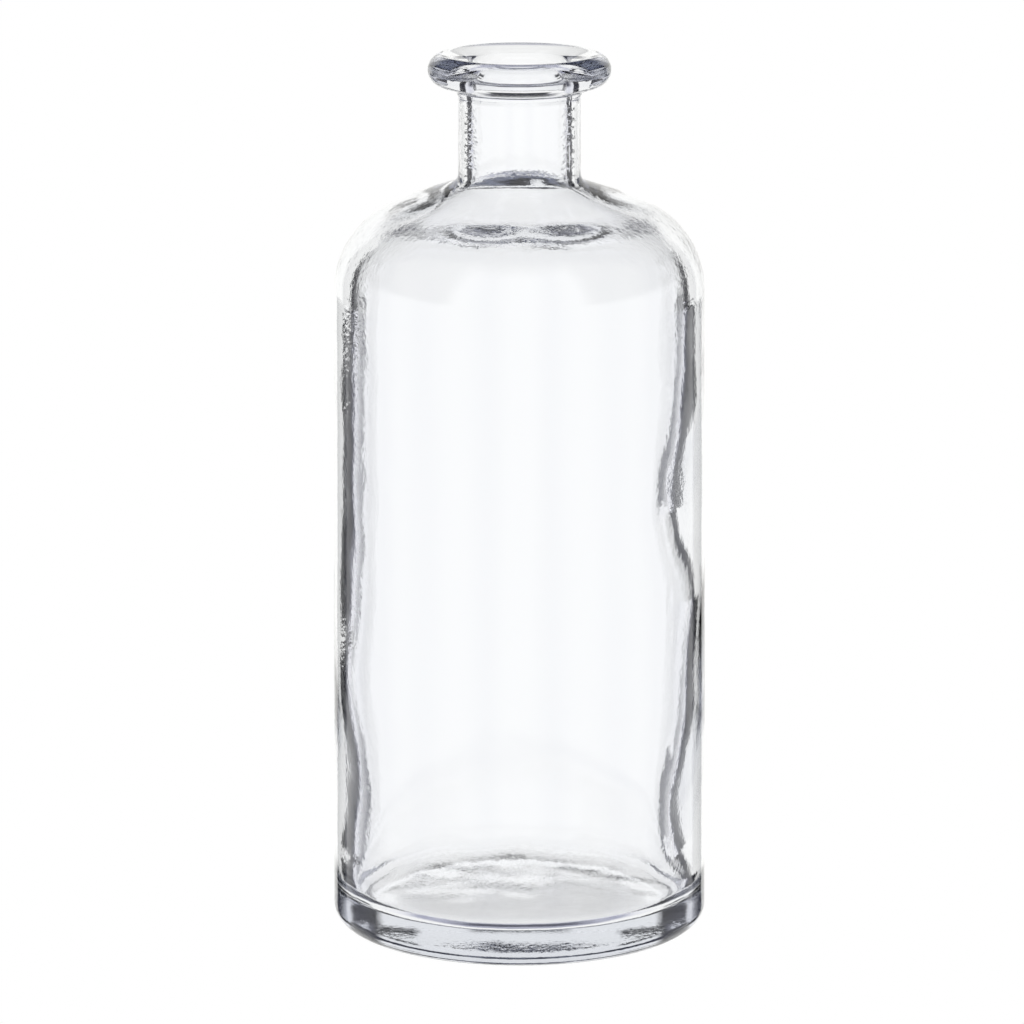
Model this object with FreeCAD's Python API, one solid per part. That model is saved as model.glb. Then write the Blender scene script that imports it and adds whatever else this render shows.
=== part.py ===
"""Bottle-shaped bud vase in clear moulded glass: thick lip, straight neck, round shoulder, heavy base.

The vase is one piece of glass. It is built here as the six zones that a glassmaker names. Each zone is
a closed ring or disc that meets the next one face to face. The two seams of the mould run up the outside.
Millimetres, +Z up, origin at the centre of the foot.
"""

import math
import os

import FreeCAD
import Part

# Overall sizes
HEIGHT = 200.0
BASE_RADIUS = 42.5  # body just above the heel
SHOULDER_RADIUS = 41.7  # body where the shoulder starts: the wall leans in a little on the way up
NECK_RADIUS = 13.7
LIP_RADIUS = 20.5
BODY_WALL = 5.0  # glass thickness of the body
NECK_WALL = 3.2

# Base
HEEL_RADIUS = 4.5  # rounding between the foot and the wall
FLOOR_HEIGHT = 7.5  # inside floor at its rim
FLOOR_RISE = 0.4  # how far the floor rises to its centre
PUSH_UP = 0.8  # how far the underside rises to its centre, so that the vase stands on a ring
INNER_CORNER_RADIUS = 4.0

# Shoulder
SHOULDER_HEIGHT = 146.5  # where the wall turns into the shoulder
SHOULDER_CURVE = 21.2
NECK_BOTTOM = 172.9  # where the shoulder turns into the straight neck
NECK_FILLET = 2.2

# Lip
LIP_THICKNESS = 7.1
COLLAR_HEIGHT = 190.9  # where the neck ends and the lip's collar starts
COLLAR_STEP = 0.3  # the collar stands this far out of the neck
LIP_COVE = 1.8  # hollow between the collar and the underside of the lip
DISH_SLOPE = 19.0  # degrees that the top of the lip falls towards the bore
MOUTH_ROUNDING = 2.0

# Mould seams: two ridges on opposite sides
SEAM_PROUD = 0.15
SEAM_WIDTH = 0.5
SEAM_AZIMUTH = -37.5  # degrees from +X, about +Z
LIP_SEAM_TOP = 40.0  # degrees above level, on the lip's round edge, where heat has melted the seam away

BORE_RADIUS = NECK_RADIUS - NECK_WALL
CORNER_HEIGHT = FLOOR_HEIGHT + INNER_CORNER_RADIUS  # where the inside corner turns into the wall
AXIS = FreeCAD.Vector(0, 0, 1)
ORIGIN = FreeCAD.Vector(0, 0, 0)
SAME_POINT = 1e-7


def at(radius, height):
    """A point of an outline, which is drawn in the XZ plane."""
    return FreeCAD.Vector(radius, 0, height)


def on_circle(centre, radius, degrees):
    angle = math.radians(degrees)
    return centre + at(radius * math.cos(angle), radius * math.sin(angle))


def arc(centre, radius, start, end):
    middle = (start + end) / 2
    points = [on_circle(centre, radius, degrees) for degrees in (start, middle, end)]
    return Part.Arc(*points).toShape()


def ends(piece):
    """Where a piece of an outline starts and ends. A piece is an arc's edge or a single point."""
    if isinstance(piece, FreeCAD.Vector):
        return piece, piece
    return piece.firstVertex(True).Point, piece.lastVertex(True).Point


def spin(pieces):
    """A solid of revolution. Straight lines join the pieces of its outline, and the last to the first."""
    edges = []
    for piece, following in zip(pieces, pieces[1:] + pieces[:1]):
        if not isinstance(piece, FreeCAD.Vector):
            edges.append(piece)
        start, end = ends(piece)[1], ends(following)[0]
        if start.distanceToPoint(end) > SAME_POINT:
            edges.append(Part.LineSegment(start, end).toShape())
    return Part.Face(Part.Wire(edges)).revolve(ORIGIN, AXIS, 360)


def wall_radius(height):
    """Outside radius of the body, which leans in evenly from the heel to the shoulder."""
    share = (height - HEEL_RADIUS) / (SHOULDER_HEIGHT - HEEL_RADIUS)
    return BASE_RADIUS + (SHOULDER_RADIUS - BASE_RADIUS) * share


def floor_radius():
    """Where the inside floor turns into the inside corner."""
    return wall_radius(CORNER_HEIGHT) - BODY_WALL - INNER_CORNER_RADIUS


def dome(edge_height, rise):
    """A shallow arc from its top on the axis down to the floor's rim."""
    radius = (floor_radius() ** 2 + rise**2) / (2 * rise)
    reach = math.degrees(math.asin(floor_radius() / radius))
    return arc(at(0, edge_height + rise - radius), radius, 90, 90 - reach)


def make_floor():
    """Thick disc, with the inside floor above and the push-up below."""
    return spin([dome(FLOOR_HEIGHT, FLOOR_RISE), dome(0, PUSH_UP).reversed()])


def make_heel(proud=0.0):
    """Ring that the vase stands on, with the rounding outside and the corner inside."""
    outside = wall_radius(CORNER_HEIGHT)
    return spin(
        [
            at(floor_radius(), 0),
            arc(at(BASE_RADIUS - HEEL_RADIUS, HEEL_RADIUS), HEEL_RADIUS, -90, 0),
            at(BASE_RADIUS + proud, HEEL_RADIUS),
            at(outside + proud, CORNER_HEIGHT),
            at(outside - BODY_WALL, CORNER_HEIGHT),
            arc(at(floor_radius(), CORNER_HEIGHT), INNER_CORNER_RADIUS, 0, -90),
        ]
    )


def make_body(proud=0.0):
    bottom = wall_radius(CORNER_HEIGHT)
    return spin(
        [
            at(bottom - BODY_WALL, CORNER_HEIGHT),
            at(bottom + proud, CORNER_HEIGHT),
            at(SHOULDER_RADIUS + proud, SHOULDER_HEIGHT),
            at(SHOULDER_RADIUS - BODY_WALL, SHOULDER_HEIGHT),
        ]
    )


def s_curve(curve, curve_radius, fillet, fillet_radius):
    """The two arcs of an S. The straight line that joins them touches both, so the centres set its slope."""
    apart = fillet - curve
    tilt = math.degrees(math.atan2(apart.x, apart.z))
    turn = math.degrees(math.acos((curve_radius + fillet_radius) / apart.Length))
    slope_side = 90 - (tilt + turn)
    return arc(curve, curve_radius, 0, slope_side), arc(fillet, fillet_radius, 180 + slope_side, 180)


def make_shoulder(proud=0.0):
    """Dome between body and neck. The inside follows the outside, and gets thinner towards the neck."""
    curve = at(SHOULDER_RADIUS - SHOULDER_CURVE, SHOULDER_HEIGHT)
    fillet = at(NECK_RADIUS + NECK_FILLET, NECK_BOTTOM)
    outside = s_curve(curve, SHOULDER_CURVE + proud, fillet, NECK_FILLET - proud)
    inside = s_curve(curve, SHOULDER_CURVE - BODY_WALL, fillet, NECK_FILLET + NECK_WALL)
    return spin([*outside, *[piece.reversed() for piece in reversed(inside)]])


def make_neck(proud=0.0):
    return spin(
        [
            at(BORE_RADIUS, NECK_BOTTOM),
            at(NECK_RADIUS + proud, NECK_BOTTOM),
            at(NECK_RADIUS + proud, COLLAR_HEIGHT),
            at(BORE_RADIUS, COLLAR_HEIGHT),
        ]
    )


def make_lip(proud=0.0):
    """Thick lip: collar, hollow underside, half-round edge, and a top that falls to the rounded mouth."""
    edge_radius = LIP_THICKNESS / 2
    edge = at(LIP_RADIUS - edge_radius, HEIGHT - edge_radius)
    collar_radius = NECK_RADIUS + COLLAR_STEP
    # The hollow touches the collar's wall and the half-round edge.
    across = edge.x - collar_radius - LIP_COVE
    down = math.sqrt((edge_radius + LIP_COVE) ** 2 - across**2)
    cove = at(collar_radius + LIP_COVE, edge.z - down)
    touch = math.degrees(math.atan2(down, across))
    # A line at the dish's slope touches the half-round edge and the rounding of the mouth.
    slope = math.radians(DISH_SLOPE)
    mouth_radius = BORE_RADIUS + MOUTH_ROUNDING
    fall = (edge.x - mouth_radius) * math.tan(slope) - (edge_radius - MOUTH_ROUNDING) / math.cos(slope)
    mouth = at(mouth_radius, edge.z - fall)
    return spin(
        [
            at(BORE_RADIUS, COLLAR_HEIGHT),
            at(collar_radius + proud, COLLAR_HEIGHT),
            arc(cove, LIP_COVE - proud, 180, touch),
            arc(edge, edge_radius + proud, touch - 180, LIP_SEAM_TOP),
            arc(edge, edge_radius, LIP_SEAM_TOP, 90 + DISH_SLOPE),
            arc(mouth, MOUTH_ROUNDING, 90 + DISH_SLOPE, 180),
        ]
    )


def seam_plate():
    """Thin upright plate through the axis. It cuts both seams out of a skin that is proud of the glass."""
    length = 3 * BASE_RADIUS
    plate = Part.makeBox(length, SEAM_WIDTH, HEIGHT, FreeCAD.Vector(-length / 2, -SEAM_WIDTH / 2, 0))
    plate.rotate(ORIGIN, AXIS, SEAM_AZIMUTH)
    return plate


def with_seams(make_zone):
    """A zone with the two mould seams on its outside."""
    ridges = make_zone(SEAM_PROUD).common(seam_plate())
    return make_zone().fuse(ridges).removeSplitter()


def main():
    zones = {
        "floor": make_floor(),
        "heel_ring": with_seams(make_heel),
        "body_wall": with_seams(make_body),
        "shoulder": with_seams(make_shoulder),
        "neck": with_seams(make_neck),
        "lip_ring": with_seams(make_lip),
    }
    os.makedirs("parts", exist_ok=True)
    for name, shape in zones.items():
        shape.exportStep(f"parts/{name}.step")
        print(name, f"{shape.Volume:.0f} mm3", "valid" if shape.isValid() else "NOT VALID", len(shape.Solids))


main()
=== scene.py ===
"""Clear moulded-glass bud vase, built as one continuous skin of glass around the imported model."""

import math

import bpy
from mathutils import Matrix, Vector, noise


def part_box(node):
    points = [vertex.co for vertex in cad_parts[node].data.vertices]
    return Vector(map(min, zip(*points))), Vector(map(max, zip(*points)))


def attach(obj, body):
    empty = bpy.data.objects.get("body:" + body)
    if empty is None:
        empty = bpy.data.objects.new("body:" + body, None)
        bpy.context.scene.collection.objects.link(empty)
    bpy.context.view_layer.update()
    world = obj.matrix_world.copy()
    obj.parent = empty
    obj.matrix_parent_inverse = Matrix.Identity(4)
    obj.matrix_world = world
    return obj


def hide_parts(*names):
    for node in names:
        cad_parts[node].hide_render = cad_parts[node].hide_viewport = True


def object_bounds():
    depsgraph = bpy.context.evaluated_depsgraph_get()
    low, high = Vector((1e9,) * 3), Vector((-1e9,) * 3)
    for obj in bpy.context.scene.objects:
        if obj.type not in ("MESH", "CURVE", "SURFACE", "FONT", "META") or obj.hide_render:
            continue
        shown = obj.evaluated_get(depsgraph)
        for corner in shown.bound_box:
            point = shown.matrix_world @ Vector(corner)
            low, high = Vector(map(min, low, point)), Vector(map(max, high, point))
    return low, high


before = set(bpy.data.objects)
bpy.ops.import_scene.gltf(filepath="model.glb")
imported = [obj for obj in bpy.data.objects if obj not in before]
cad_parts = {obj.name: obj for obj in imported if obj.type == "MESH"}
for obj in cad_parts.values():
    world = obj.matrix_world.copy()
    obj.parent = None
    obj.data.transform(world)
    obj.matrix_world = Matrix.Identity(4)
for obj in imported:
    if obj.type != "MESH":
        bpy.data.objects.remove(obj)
cad_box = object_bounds()

MM = 0.001
AXIS = Vector((0, 0, 1))

# The outline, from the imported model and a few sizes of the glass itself
FOOT_Z, TOP_Z = cad_box[0].z, cad_box[1].z
FLOOR_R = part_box("floor")[1].x
FLOOR_CENTRE_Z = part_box("floor")[1].z
BASE_R, CORNER_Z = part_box("heel_ring")[1].x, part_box("heel_ring")[1].z
SHOULDER_R, SHOULDER_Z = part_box("shoulder")[1].x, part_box("shoulder")[0].z
NECK_R, NECK_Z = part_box("neck")[1].x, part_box("neck")[0].z
LIP_R, COLLAR_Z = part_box("lip_ring")[1].x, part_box("lip_ring")[0].z
BODY_WALL = 5.0 * MM
NECK_WALL = 3.2 * MM
HEEL_R = 4.5 * MM
PUSH_UP = 0.8 * MM
INNER_CORNER_R = 4.0 * MM
SHOULDER_CURVE = 21.2 * MM
NECK_FILLET = 2.2 * MM
LIP_THICKNESS = 7.1 * MM
LIP_COVE = 1.8 * MM
COLLAR_STEP = 0.3 * MM
COLLAR_FROM, COLLAR_TO = COLLAR_Z - 0.3 * MM, COLLAR_Z + 0.1 * MM
DISH_SLOPE = 19.0
MOUTH_ROUNDING = 2.0 * MM

# Mesh: points round the axis, the distances at which two points count as one and a point counts as on the
# axis, and the largest distance between two points of the outline
AROUND = 300
SAME_POINT = 0.02 * MM
ON_AXIS = 0.01 * MM
STEP_OUTSIDE = 1.5 * MM
STEP_INSIDE = 2.2 * MM
STEP_BASE = 2.6 * MM
STEP_LIP = 0.7 * MM
STEP_EDGE = 0.5 * MM
STEP_SMALL_ARC = 0.4 * MM

# Uneven ring of thicker glass inside the shoulder, and the mould's two parting lines
ROLL_RADIUS = 21.5 * MM
ROLL_WIDTH = 4.5 * MM
ROLL_HEIGHT = 1.5 * MM
SEAM_AZIMUTH = -37.5
SEAM_PROUD = 0.11 * MM
SEAM_WIDTH = 0.5 * MM

# Thick and thin spots of the wall: azimuth in degrees, height, half-widths across and up, added thickness
SPOTS = (
    (-7, 124 * MM, 13 * MM, 14 * MM, 0.3 * MM),
    (-7, 101 * MM, 13 * MM, 10 * MM, 1.2 * MM),
    (-7, 78 * MM, 13 * MM, 9 * MM, -0.7 * MM),
    (-7, 29 * MM, 13 * MM, 10 * MM, 1.3 * MM),
    (187, 58 * MM, 13 * MM, 8 * MM, -0.4 * MM),
    (187, 33 * MM, 13 * MM, 11 * MM, 0.5 * MM),
)

# Height of the fine orange peel in the glass's bump, and its share at each height of the vase
PEEL_HEIGHT = 0.04 * MM
PEEL_SHARES = (
    (FOOT_Z, 0.6),
    (8 * MM, 0.3),
    (SHOULDER_Z, 0.3),
    (SHOULDER_Z + 8 * MM, 0.8),
    (NECK_Z, 0.7),
    (COLLAR_Z - 2 * MM, 0.7),
    (COLLAR_Z + 2 * MM, 0.15),
)

# The studio, as stops of (angle in degrees, light level). Behind the vase a white screen stands between two
# charcoal flags. These stops count from straight behind the vase to either side: under the flags, beside
# them, and higher up, where they stand further apart. The pairs are the heights, in degrees from the
# horizon, over which one list turns into the next.
SCREEN_BELOW = ((0, 1.05), (40, 1.05), (58, 0.9))
SCREEN_LOW = (
    (0, 1.05),
    (22.5, 1.05),
    (25, 0.005),
    (40, 0.01),
    (42.5, 0.1),
    (45, 0.9),
    (50, 0.9),
    (58, 0.6),
)
SCREEN_HIGH = ((0, 1.05), (36, 1.05), (40, 0.01), (55, 0.01), (58, 0.9))
LOW_FROM = (-27.0, -22.0)
HIGH_FROM = (-10.4, -9.9)
# How brightly that screen is lit at each height, and the black header over its middle, with the header's
# edges as angles from straight behind
SCREEN_LIT = (
    (-90, 0.4),
    (-64, 0.4),
    (-50, 1.0),
    (19, 1.0),
    (27, 0.06),
    (40, 0.06),
    (50, 0.6),
    (90, 0.6),
)
HEADER_LIT = ((-90, 1.0), (14.5, 1.0), (16, 0.01), (90, 0.01))
HEADER_EDGE = (8, 12)
# All round: soft screens at equal angles, counted from the middle of each, then the light at each height of
# the grey room below and the dark ceiling, and of the tall lamp on the camera's side. The last two pairs are
# the edges of the lamp and of the screen behind the vase, as angles from straight behind.
SOFT_SCREEN_EVERY = 45.0
SOFT_SCREEN = ((0, 0.95), (8, 0.95), (22.5, 0.75))
UNDER_TABLE = ((-90, 0.1), (-72, 0.1), (-60, 0.5), (-32, 0.5), (-22, 1.0))
ROOM_LIT = (*UNDER_TABLE, (5, 1.0), (10, 0.06), (90, 0.06))
LAMP_LIT = (*UNDER_TABLE, (50, 1.0), (62, 0.06), (90, 0.06))
LAMP_EDGE = (128, 140)
SCREEN_EDGE = (58, 74)

# Camera: its height over the horizon in degrees, distance, lens and shift
CAMERA_ELEVATION = 12.5
CAMERA_DISTANCE = 1.4
CAMERA_LENS = 217.5
CAMERA_SHIFT = (-0.0073, -0.0198)

FLOOR_SIZE = 12.0
FLOOR_GAP = 0.2 * MM


def arc(centre, radius, start, end, step):
    """Points of an arc, as (radius from the axis, height), from start to end degrees."""
    count = max(4, math.ceil(abs(math.radians(end - start)) * radius / step))
    angles = [math.radians(start + (end - start) * i / count) for i in range(count + 1)]
    return [(centre[0] + radius * math.cos(a), centre[1] + radius * math.sin(a)) for a in angles]


def line(start, end, step):
    """Points of a straight line from start to end."""
    count = max(1, math.ceil(math.dist(start, end) / step))
    return [
        (start[0] + (end[0] - start[0]) * i / count, start[1] + (end[1] - start[1]) * i / count)
        for i in range(count + 1)
    ]


def chain(*runs):
    """One outline from several runs, with no point twice and with straight joints filled in."""
    points = []
    for points_of_run, step in runs:
        if points and math.dist(points[-1], points_of_run[0]) > 1.01 * step:
            points += line(points[-1], points_of_run[0], step)[1:-1]
        points += [p for p in points_of_run if not points or math.dist(points[-1], p) > SAME_POINT]
    return points


def s_curve(curve, curve_radius, fillet, fillet_radius, step):
    """Shoulder: two arcs and the straight line that touches both, from the body up to the neck."""
    apart = (fillet[0] - curve[0], fillet[1] - curve[1])
    tilt = math.degrees(math.atan2(*apart))
    turn = math.degrees(math.acos((curve_radius + fillet_radius) / math.hypot(*apart)))
    side = 90 - (tilt + turn)
    low = arc(curve, curve_radius, 0, side, step)
    high = arc(fillet, fillet_radius, 180 + side, 180, step)
    return low + line(low[-1], high[0], step)[1:-1] + high


def outside_outline():
    """From the middle of the underside, over the foot and up to the top of the lip's round edge."""
    dome_radius = (FLOOR_R**2 + PUSH_UP**2) / (2 * PUSH_UP)
    reach = math.degrees(math.asin(FLOOR_R / dome_radius))
    underside = arc((0, PUSH_UP - dome_radius), dome_radius, 90, 90 - reach, STEP_BASE)
    foot = arc((BASE_R - HEEL_R, HEEL_R), HEEL_R, -90, 0, STEP_LIP)
    curve = (SHOULDER_R - SHOULDER_CURVE, SHOULDER_Z)
    fillet = (NECK_R + NECK_FILLET, NECK_Z)
    shoulder = s_curve(curve, SHOULDER_CURVE, fillet, NECK_FILLET, STEP_OUTSIDE)
    edge_radius = LIP_THICKNESS / 2
    edge = (LIP_R - edge_radius, TOP_Z - edge_radius)
    collar = NECK_R + COLLAR_STEP
    across = edge[0] - collar - LIP_COVE
    down = math.sqrt((edge_radius + LIP_COVE) ** 2 - across**2)
    touch = math.degrees(math.atan2(down, across))
    cove = arc((collar + LIP_COVE, edge[1] - down), LIP_COVE, 180, touch, STEP_SMALL_ARC)
    lip = arc(edge, edge_radius, touch - 180, 90 + DISH_SLOPE, STEP_EDGE)
    return chain(
        (underside, STEP_BASE),
        (foot, STEP_BASE),
        (shoulder, STEP_OUTSIDE),
        ([(NECK_R, COLLAR_FROM)], STEP_OUTSIDE),
        ([(collar, COLLAR_TO)], STEP_OUTSIDE),
        (cove, STEP_LIP),
        (lip, STEP_LIP),
    )


def inside_outline():
    """From the dish of the lip, down the bore and the wall to the middle of the floor."""
    bore = NECK_R - NECK_WALL
    slope = math.radians(DISH_SLOPE)
    edge_radius = LIP_THICKNESS / 2
    edge = (LIP_R - edge_radius, TOP_Z - edge_radius)
    fall = (edge[0] - bore - MOUTH_ROUNDING) * math.tan(slope)
    fall -= (edge_radius - MOUTH_ROUNDING) / math.cos(slope)
    mouth_centre = (bore + MOUTH_ROUNDING, edge[1] - fall)
    mouth = arc(mouth_centre, MOUTH_ROUNDING, 90 + DISH_SLOPE, 180, STEP_SMALL_ARC)
    curve = (SHOULDER_R - SHOULDER_CURVE, SHOULDER_Z)
    fillet = (NECK_R + NECK_FILLET, NECK_Z)
    shoulder = s_curve(curve, SHOULDER_CURVE - BODY_WALL, fillet, NECK_FILLET + NECK_WALL, STEP_INSIDE)
    corner = arc((FLOOR_R, CORNER_Z), INNER_CORNER_R, 0, -90, STEP_LIP)
    rim_z = CORNER_Z - INNER_CORNER_R
    rise = FLOOR_CENTRE_Z - rim_z
    dome_radius = (FLOOR_R**2 + rise**2) / (2 * rise)
    reach = math.degrees(math.asin(FLOOR_R / dome_radius))
    floor = arc((0, FLOOR_CENTRE_Z - dome_radius), dome_radius, 90 - reach, 90, STEP_BASE)
    return chain(
        (mouth, STEP_LIP),
        (shoulder[::-1], STEP_INSIDE),
        (corner, STEP_INSIDE),
        (floor, STEP_BASE),
    )


def smooth(x, low, high):
    """0 below low and 1 above high, with a smooth turn between them."""
    t = min(max((x - low) / (high - low), 0.0), 1.0)
    return t * t * (3 - 2 * t)


def bumps(p, size, height, shift=(0, 0, 0)):
    """Random bumps about this far across and up to this high, at p. shift picks another stretch of them."""
    return height * noise.noise(p / size + Vector(shift))


def seam_height(azimuth, p):
    """The mould's two parting lines, which come and go on the way up."""
    apart = math.remainder(azimuth - math.radians(SEAM_AZIMUTH), math.pi) * Vector(p.xy).length
    if abs(apart) > 2 * SEAM_WIDTH:
        return 0.0
    strength = smooth(noise.noise(Vector((3, 8, p.z / (7 * MM)))), 0.0, 0.25)
    return SEAM_PROUD * strength * math.exp(-((apart / (SEAM_WIDTH / 2)) ** 2))


def outside_relief(p, azimuth):
    """How far the outside stands out at p: orange peel from the mould, faint waves and the seams."""
    peel = bumps(p, 3.2 * MM, 0.012 * MM) + bumps(p, 7.0 * MM, 0.02 * MM)
    waves = bumps(p, 38 * MM, 0.10 * MM, (7, 1, 3))
    fade = smooth(p.z, 3 * MM, 6 * MM) * (1 - smooth(p.z, TOP_Z - 8 * MM, TOP_Z - 3 * MM))
    return (peel + waves + seam_height(azimuth, p)) * fade


def wall_spots(azimuth, z):
    """How much thicker the wall is here for its thick and thin spots."""
    total = 0.0
    for spot_azimuth, height, across, up, thickness in SPOTS:
        apart = math.remainder(azimuth - math.radians(spot_azimuth), 2 * math.pi) * SHOULDER_R
        total += thickness * math.exp(-((apart / across) ** 2 + ((z - height) / up) ** 2) / 2)
    return total


def shoulder_roll(p):
    """How far the uneven ring inside the shoulder, left by the blown bubble, stands in at p."""
    if p.z < SHOULDER_Z:
        return 0.0
    radius = Vector(p.xy).length
    uneven = 0.7 + bumps(p, 14 * MM, 1.0, (4, 4, 4))
    return ROLL_HEIGHT * uneven * math.exp(-(((radius - ROLL_RADIUS) / ROLL_WIDTH) ** 2))


def inside_relief(p, azimuth):
    """How far the inside stands in from its even shape: blown glass is uneven inside."""
    drawn_up = Vector((p.x, p.y, p.z * 0.6))
    broad = bumps(drawn_up, 30 * MM, 0.30 * MM, (2, 5, 1))
    middle = bumps(p, 9 * MM, 0.06 * MM, (9, 4, 6))
    fade = smooth(p.z, 12 * MM, 20 * MM) * (1 - smooth(p.z, NECK_Z - 14 * MM, NECK_Z))
    floor = bumps(p, 7 * MM, 0.10 * MM, (1, 6, 2)) * (1 - smooth(p.z, 9 * MM, 14 * MM))
    return (broad + middle + wall_spots(azimuth, p.z)) * fade + shoulder_roll(p) + floor


def normals(outline):
    """Unit normals of an outline, on its left-hand side, in the plane of (radius, height)."""
    found = []
    for i in range(len(outline)):
        a, b = outline[max(i - 1, 0)], outline[min(i + 1, len(outline) - 1)]
        run, rise = b[0] - a[0], b[1] - a[1]
        length = math.hypot(run, rise)
        found.append((rise / length, -run / length))
    return found


def vase_mesh():
    """The outline turned once round the axis, with its relief: one closed skin."""
    outside, inside = outside_outline(), inside_outline()
    outline = outside + inside
    facing = normals(outline)
    verts, faces = [], []
    for i, ((r, z), (nr, nz)) in enumerate(zip(outline, facing)):
        if r < ON_AXIS:
            verts.append(Vector((0, 0, z)))
            continue
        for k in range(AROUND):
            azimuth = 2 * math.pi * k / AROUND
            out = Vector((math.cos(azimuth), math.sin(azimuth), 0))
            p = out * r + AXIS * z
            relief = outside_relief if i < len(outside) else inside_relief
            verts.append(p + (out * nr + AXIS * nz) * relief(p, azimuth))
    rings = len(outline) - 2
    first, last = 0, len(verts) - 1

    def ring(i):
        return 1 + i * AROUND

    for k in range(AROUND):
        following = (k + 1) % AROUND
        faces.append((first, ring(0) + following, ring(0) + k))
        faces.append((last, ring(rings - 1) + k, ring(rings - 1) + following))
        for i in range(rings - 1):
            low, high = ring(i), ring(i + 1)
            faces.append((low + k, low + following, high + following, high + k))
    mesh = bpy.data.meshes.new("vase_glass")
    mesh.from_pydata(verts, [], faces)
    mesh.polygons.foreach_set("use_smooth", [True] * len(mesh.polygons))
    mesh.validate()
    mesh.update()
    return mesh


def glass_material():
    """Clear glass: faintly blue inside, with fine orange peel and a few duller patches."""
    material = bpy.data.materials.new("clear_glass")
    material.use_nodes = True
    nodes, links = material.node_tree.nodes, material.node_tree.links
    shader = nodes["Principled BSDF"]
    shader.inputs["Base Color"].default_value = (0.985, 0.99, 1.0, 1)
    shader.inputs["Transmission Weight"].default_value = 1.0
    shader.inputs["IOR"].default_value = 1.52
    place = nodes.new("ShaderNodeTexCoord")
    peel = nodes.new("ShaderNodeTexNoise")
    peel.inputs["Scale"].default_value = 900.0
    peel.inputs["Detail"].default_value = 2.0
    # Orange peel: strongest on the shoulder and the neck, nearly gone on the fire-polished lip
    parts = nodes.new("ShaderNodeSeparateXYZ")
    links.new(place.outputs["Object"], parts.inputs["Vector"])
    stops = [(z / TOP_Z, (share, share, share)) for z, share in PEEL_SHARES]
    rise = math_node(nodes, links, "DIVIDE", parts.outputs["Z"], TOP_Z)
    amount = ramp_node(nodes, links, rise, stops)
    bump = nodes.new("ShaderNodeBump")
    bump.inputs["Strength"].default_value = 1.0
    bump.inputs["Distance"].default_value = PEEL_HEIGHT
    rough = nodes.new("ShaderNodeTexNoise")
    rough.inputs["Scale"].default_value = 120.0
    spread = nodes.new("ShaderNodeMapRange")
    spread.inputs["From Min"].default_value = 0.55
    spread.inputs["From Max"].default_value = 0.8
    spread.inputs["To Min"].default_value = 0.0
    spread.inputs["To Max"].default_value = 0.03
    links.new(place.outputs["Object"], peel.inputs["Vector"])
    links.new(place.outputs["Object"], rough.inputs["Vector"])
    texture = math_node(nodes, links, "MULTIPLY", peel.outputs["Fac"], amount)
    links.new(texture, bump.inputs["Height"])
    links.new(bump.outputs["Normal"], shader.inputs["Normal"])
    links.new(rough.outputs["Fac"], spread.inputs["Value"])
    links.new(spread.outputs["Result"], shader.inputs["Roughness"])
    tint = nodes.new("ShaderNodeVolumeAbsorption")
    tint.inputs["Color"].default_value = (0.0, 0.08, 0.25, 1)
    tint.inputs["Density"].default_value = 4.0
    links.new(tint.outputs["Volume"], nodes["Material Output"].inputs["Volume"])
    return material


def make_vase():
    """The whole vase. It takes the place of every CAD solid."""
    mesh = vase_mesh()
    vase = bpy.data.objects.new("vase_glass", mesh)
    bpy.context.collection.objects.link(vase)
    mesh.materials.append(glass_material())
    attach(vase, "root")
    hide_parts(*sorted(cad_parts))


def math_node(nodes, links, operation, *values):
    """A Math node with these inputs, which are numbers or other nodes' outputs. Returns its output."""
    node = nodes.new("ShaderNodeMath")
    node.operation = operation
    for socket, value in zip(node.inputs, values):
        if isinstance(value, bpy.types.NodeSocket):
            links.new(value, socket)
        else:
            socket.default_value = value
    return node.outputs["Value"]


def ramp_node(nodes, links, value, stops):
    """A colour ramp along value, from 0 to 1, with these (place, colour) stops. Returns its output."""
    node = nodes.new("ShaderNodeValToRGB")
    elements = node.color_ramp.elements
    while len(elements) < len(stops):
        elements.new(0.5)
    for element, (place, colour) in zip(elements, stops):
        element.position = place
        element.color = (*colour, 1)
    links.new(value, node.inputs["Fac"])
    return node.outputs["Color"]


def grey(level):
    """A faintly blue grey, as charcoal card looks under daylight lamps."""
    blue = 1 + 0.4 * (1 - level)
    return (level, level * (1 + 0.03 * (1 - level)), level * blue)


def mix_node(nodes, links, share, first, second, blend="MIX"):
    """A colour mix of two outputs. share is a number or another output."""
    node = nodes.new("ShaderNodeMix")
    node.data_type = "RGBA"
    node.blend_type = blend
    if isinstance(share, bpy.types.NodeSocket):
        links.new(share, node.inputs["Factor"])
    else:
        node.inputs["Factor"].default_value = share
    links.new(first, node.inputs["A"])
    links.new(second, node.inputs["B"])
    return node.outputs["Result"]


def range_node(nodes, links, value, low, high):
    """0 below low and 1 above high, with a smooth turn between them."""
    node = nodes.new("ShaderNodeMapRange")
    node.interpolation_type = "SMOOTHSTEP"
    node.inputs["From Min"].default_value = low
    node.inputs["From Max"].default_value = high
    links.new(value, node.inputs["Value"])
    return node.outputs["Result"]


def level_node(nodes, links, angle, stops):
    """Light level that follows an angle in degrees. Each stop is (angle, level)."""
    low, high = stops[0][0], stops[-1][0]
    share = nodes.new("ShaderNodeMapRange")
    share.inputs["From Min"].default_value = low
    share.inputs["From Max"].default_value = high
    links.new(angle, share.inputs["Value"])
    places = [((x - low) / (high - low), grey(level)) for x, level in stops]
    return ramp_node(nodes, links, share.outputs["Result"], places)


def multiply(nodes, links, first, second):
    """The product of two colours, which are outputs."""
    return mix_node(nodes, links, 1.0, first, second, "MULTIPLY")


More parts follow.
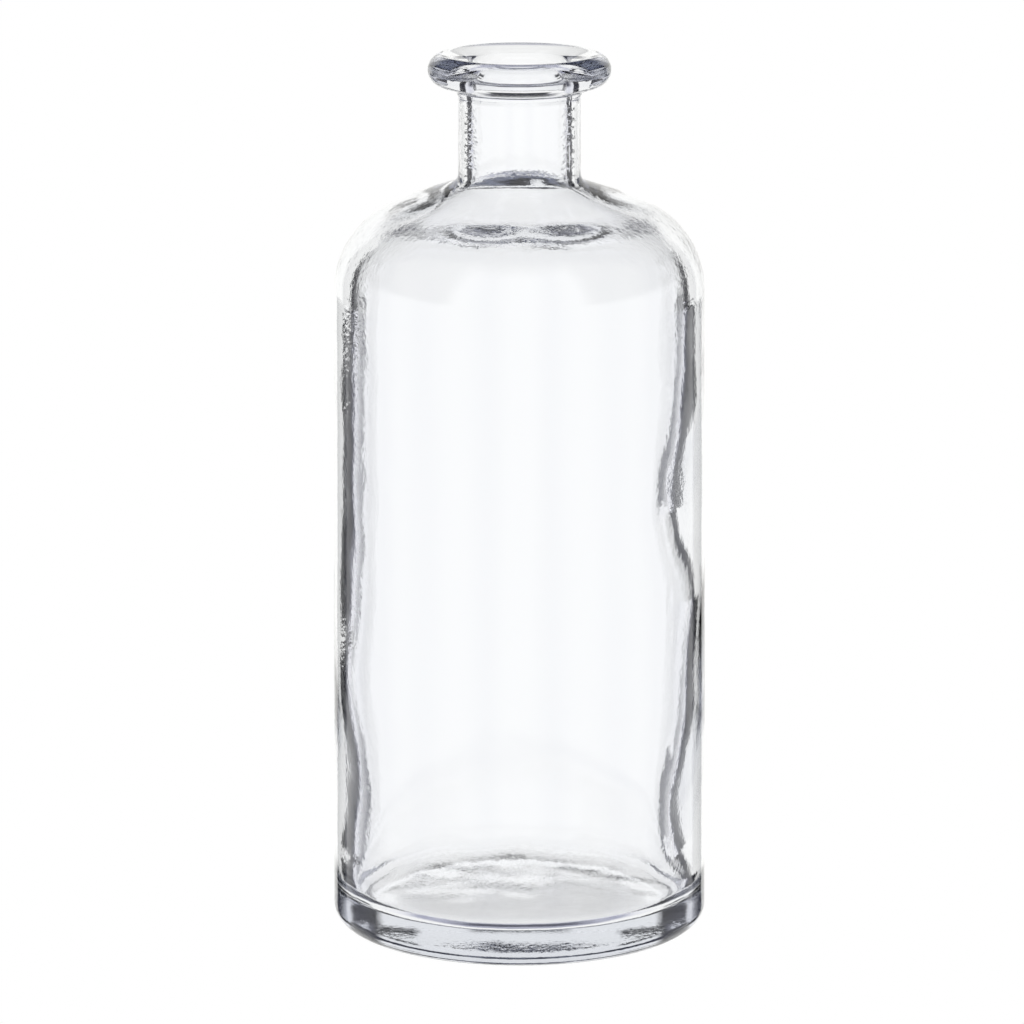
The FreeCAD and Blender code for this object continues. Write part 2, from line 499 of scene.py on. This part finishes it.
def behind_vase(nodes, links, turned, height):
    """Light of the white screen behind the vase, with its flags and header."""
    below = level_node(nodes, links, turned, SCREEN_BELOW)
    low = level_node(nodes, links, turned, SCREEN_LOW)
    high = level_node(nodes, links, turned, SCREEN_HIGH)
    screen = mix_node(nodes, links, range_node(nodes, links, height, *LOW_FROM), below, low)
    screen = mix_node(nodes, links, range_node(nodes, links, height, *HIGH_FROM), screen, high)
    screen = multiply(nodes, links, screen, level_node(nodes, links, height, SCREEN_LIT))
    headed = multiply(nodes, links, screen, level_node(nodes, links, height, HEADER_LIT))
    return mix_node(nodes, links, range_node(nodes, links, turned, *HEADER_EDGE), headed, screen)


def all_round(nodes, links, around, turned, height):
    """Light of the softer screens, the lamp, the ceiling and the room."""
    fold = math_node(nodes, links, "PINGPONG", around, SOFT_SCREEN_EVERY / 2)
    soft = level_node(nodes, links, fold, SOFT_SCREEN)
    room = level_node(nodes, links, height, ROOM_LIT)
    lamp = level_node(nodes, links, height, LAMP_LIT)
    lit = mix_node(nodes, links, range_node(nodes, links, turned, *LAMP_EDGE), room, lamp)
    return multiply(nodes, links, soft, lit)


def make_world():
    """The studio, fixed to the world. Rays straight from the camera see plain white."""
    world = bpy.data.worlds.new("studio")
    bpy.context.scene.world = world
    world.use_nodes = True
    nodes, links = world.node_tree.nodes, world.node_tree.links
    place = nodes.new("ShaderNodeTexCoord")
    parts = nodes.new("ShaderNodeSeparateXYZ")
    links.new(place.outputs["Generated"], parts.inputs["Vector"])
    around = math_node(nodes, links, "ARCTAN2", parts.outputs["X"], parts.outputs["Y"])
    around = math_node(nodes, links, "DEGREES", around)
    turned = math_node(nodes, links, "ABSOLUTE", around)
    height = math_node(nodes, links, "ARCSINE", parts.outputs["Z"])
    height = math_node(nodes, links, "DEGREES", height)
    front = behind_vase(nodes, links, turned, height)
    side = all_round(nodes, links, around, turned, height)
    level = mix_node(nodes, links, range_node(nodes, links, turned, *SCREEN_EDGE), front, side)
    background = nodes["Background"]
    links.new(level, background.inputs["Color"])
    backdrop = nodes.new("ShaderNodeBackground")
    backdrop.inputs["Color"].default_value = (1, 1, 1, 1)
    rays = nodes.new("ShaderNodeLightPath")
    choice = nodes.new("ShaderNodeMixShader")
    links.new(rays.outputs["Is Camera Ray"], choice.inputs["Fac"])
    links.new(background.outputs["Background"], choice.inputs[1])
    links.new(backdrop.outputs["Background"], choice.inputs[2])
    links.new(choice.outputs["Shader"], nodes["World Output"].inputs["Surface"])


def make_floor():
    """White floor, just below the foot. The glass neither mirrors nor shows it, and it takes no shadow."""
    half = FLOOR_SIZE / 2
    mesh = bpy.data.meshes.new("studio_floor")
    corners = [(-half, -half, 0), (half, -half, 0), (half, half, 0), (-half, half, 0)]
    mesh.from_pydata([Vector(c) + AXIS * (FOOT_Z - FLOOR_GAP) for c in corners], [], [(0, 1, 2, 3)])
    floor = bpy.data.objects.new("studio_floor", mesh)
    bpy.context.collection.objects.link(floor)
    material = bpy.data.materials.new("white_floor")
    material.use_nodes = True
    nodes, links = material.node_tree.nodes, material.node_tree.links
    nodes.remove(nodes["Principled BSDF"])
    glow = nodes.new("ShaderNodeEmission")
    glow.inputs["Color"].default_value = (1, 1, 1, 1)
    links.new(glow.outputs["Emission"], nodes["Material Output"].inputs["Surface"])
    mesh.materials.append(material)
    floor.visible_transmission = False
    floor.visible_glossy = False
    floor.visible_diffuse = False
    floor.visible_shadow = False


def make_camera():
    """Long lens, a little above the vase, as high in the frame as the object stands in it."""
    elevation = math.radians(CAMERA_ELEVATION)
    aim = Vector((0, 0, (FOOT_Z + TOP_Z) / 2))
    data = bpy.data.cameras.new("camera")
    data.sensor_width = 36.0
    data.lens = CAMERA_LENS
    data.shift_x, data.shift_y = CAMERA_SHIFT
    camera = bpy.data.objects.new("camera", data)
    bpy.context.collection.objects.link(camera)
    back = Vector((0, -math.cos(elevation), math.sin(elevation)))
    camera.location = aim + back * CAMERA_DISTANCE
    camera.rotation_mode = "QUATERNION"
    camera.rotation_quaternion = (-back).to_track_quat("-Z", "Y")
    data.clip_start, data.clip_end = 0.05, 50
    bpy.context.scene.camera = camera


def make_scene():
    """Camera, floor, studio and vase. The bounces let light through every wall of the glass."""
    scene = bpy.context.scene
    scene.view_settings.view_transform = "Standard"
    scene.cycles.max_bounces = 32
    scene.cycles.transmission_bounces = 32
    scene.cycles.glossy_bounces = 16
    make_camera()
    make_floor()
    make_world()
    make_vase()


make_scene()
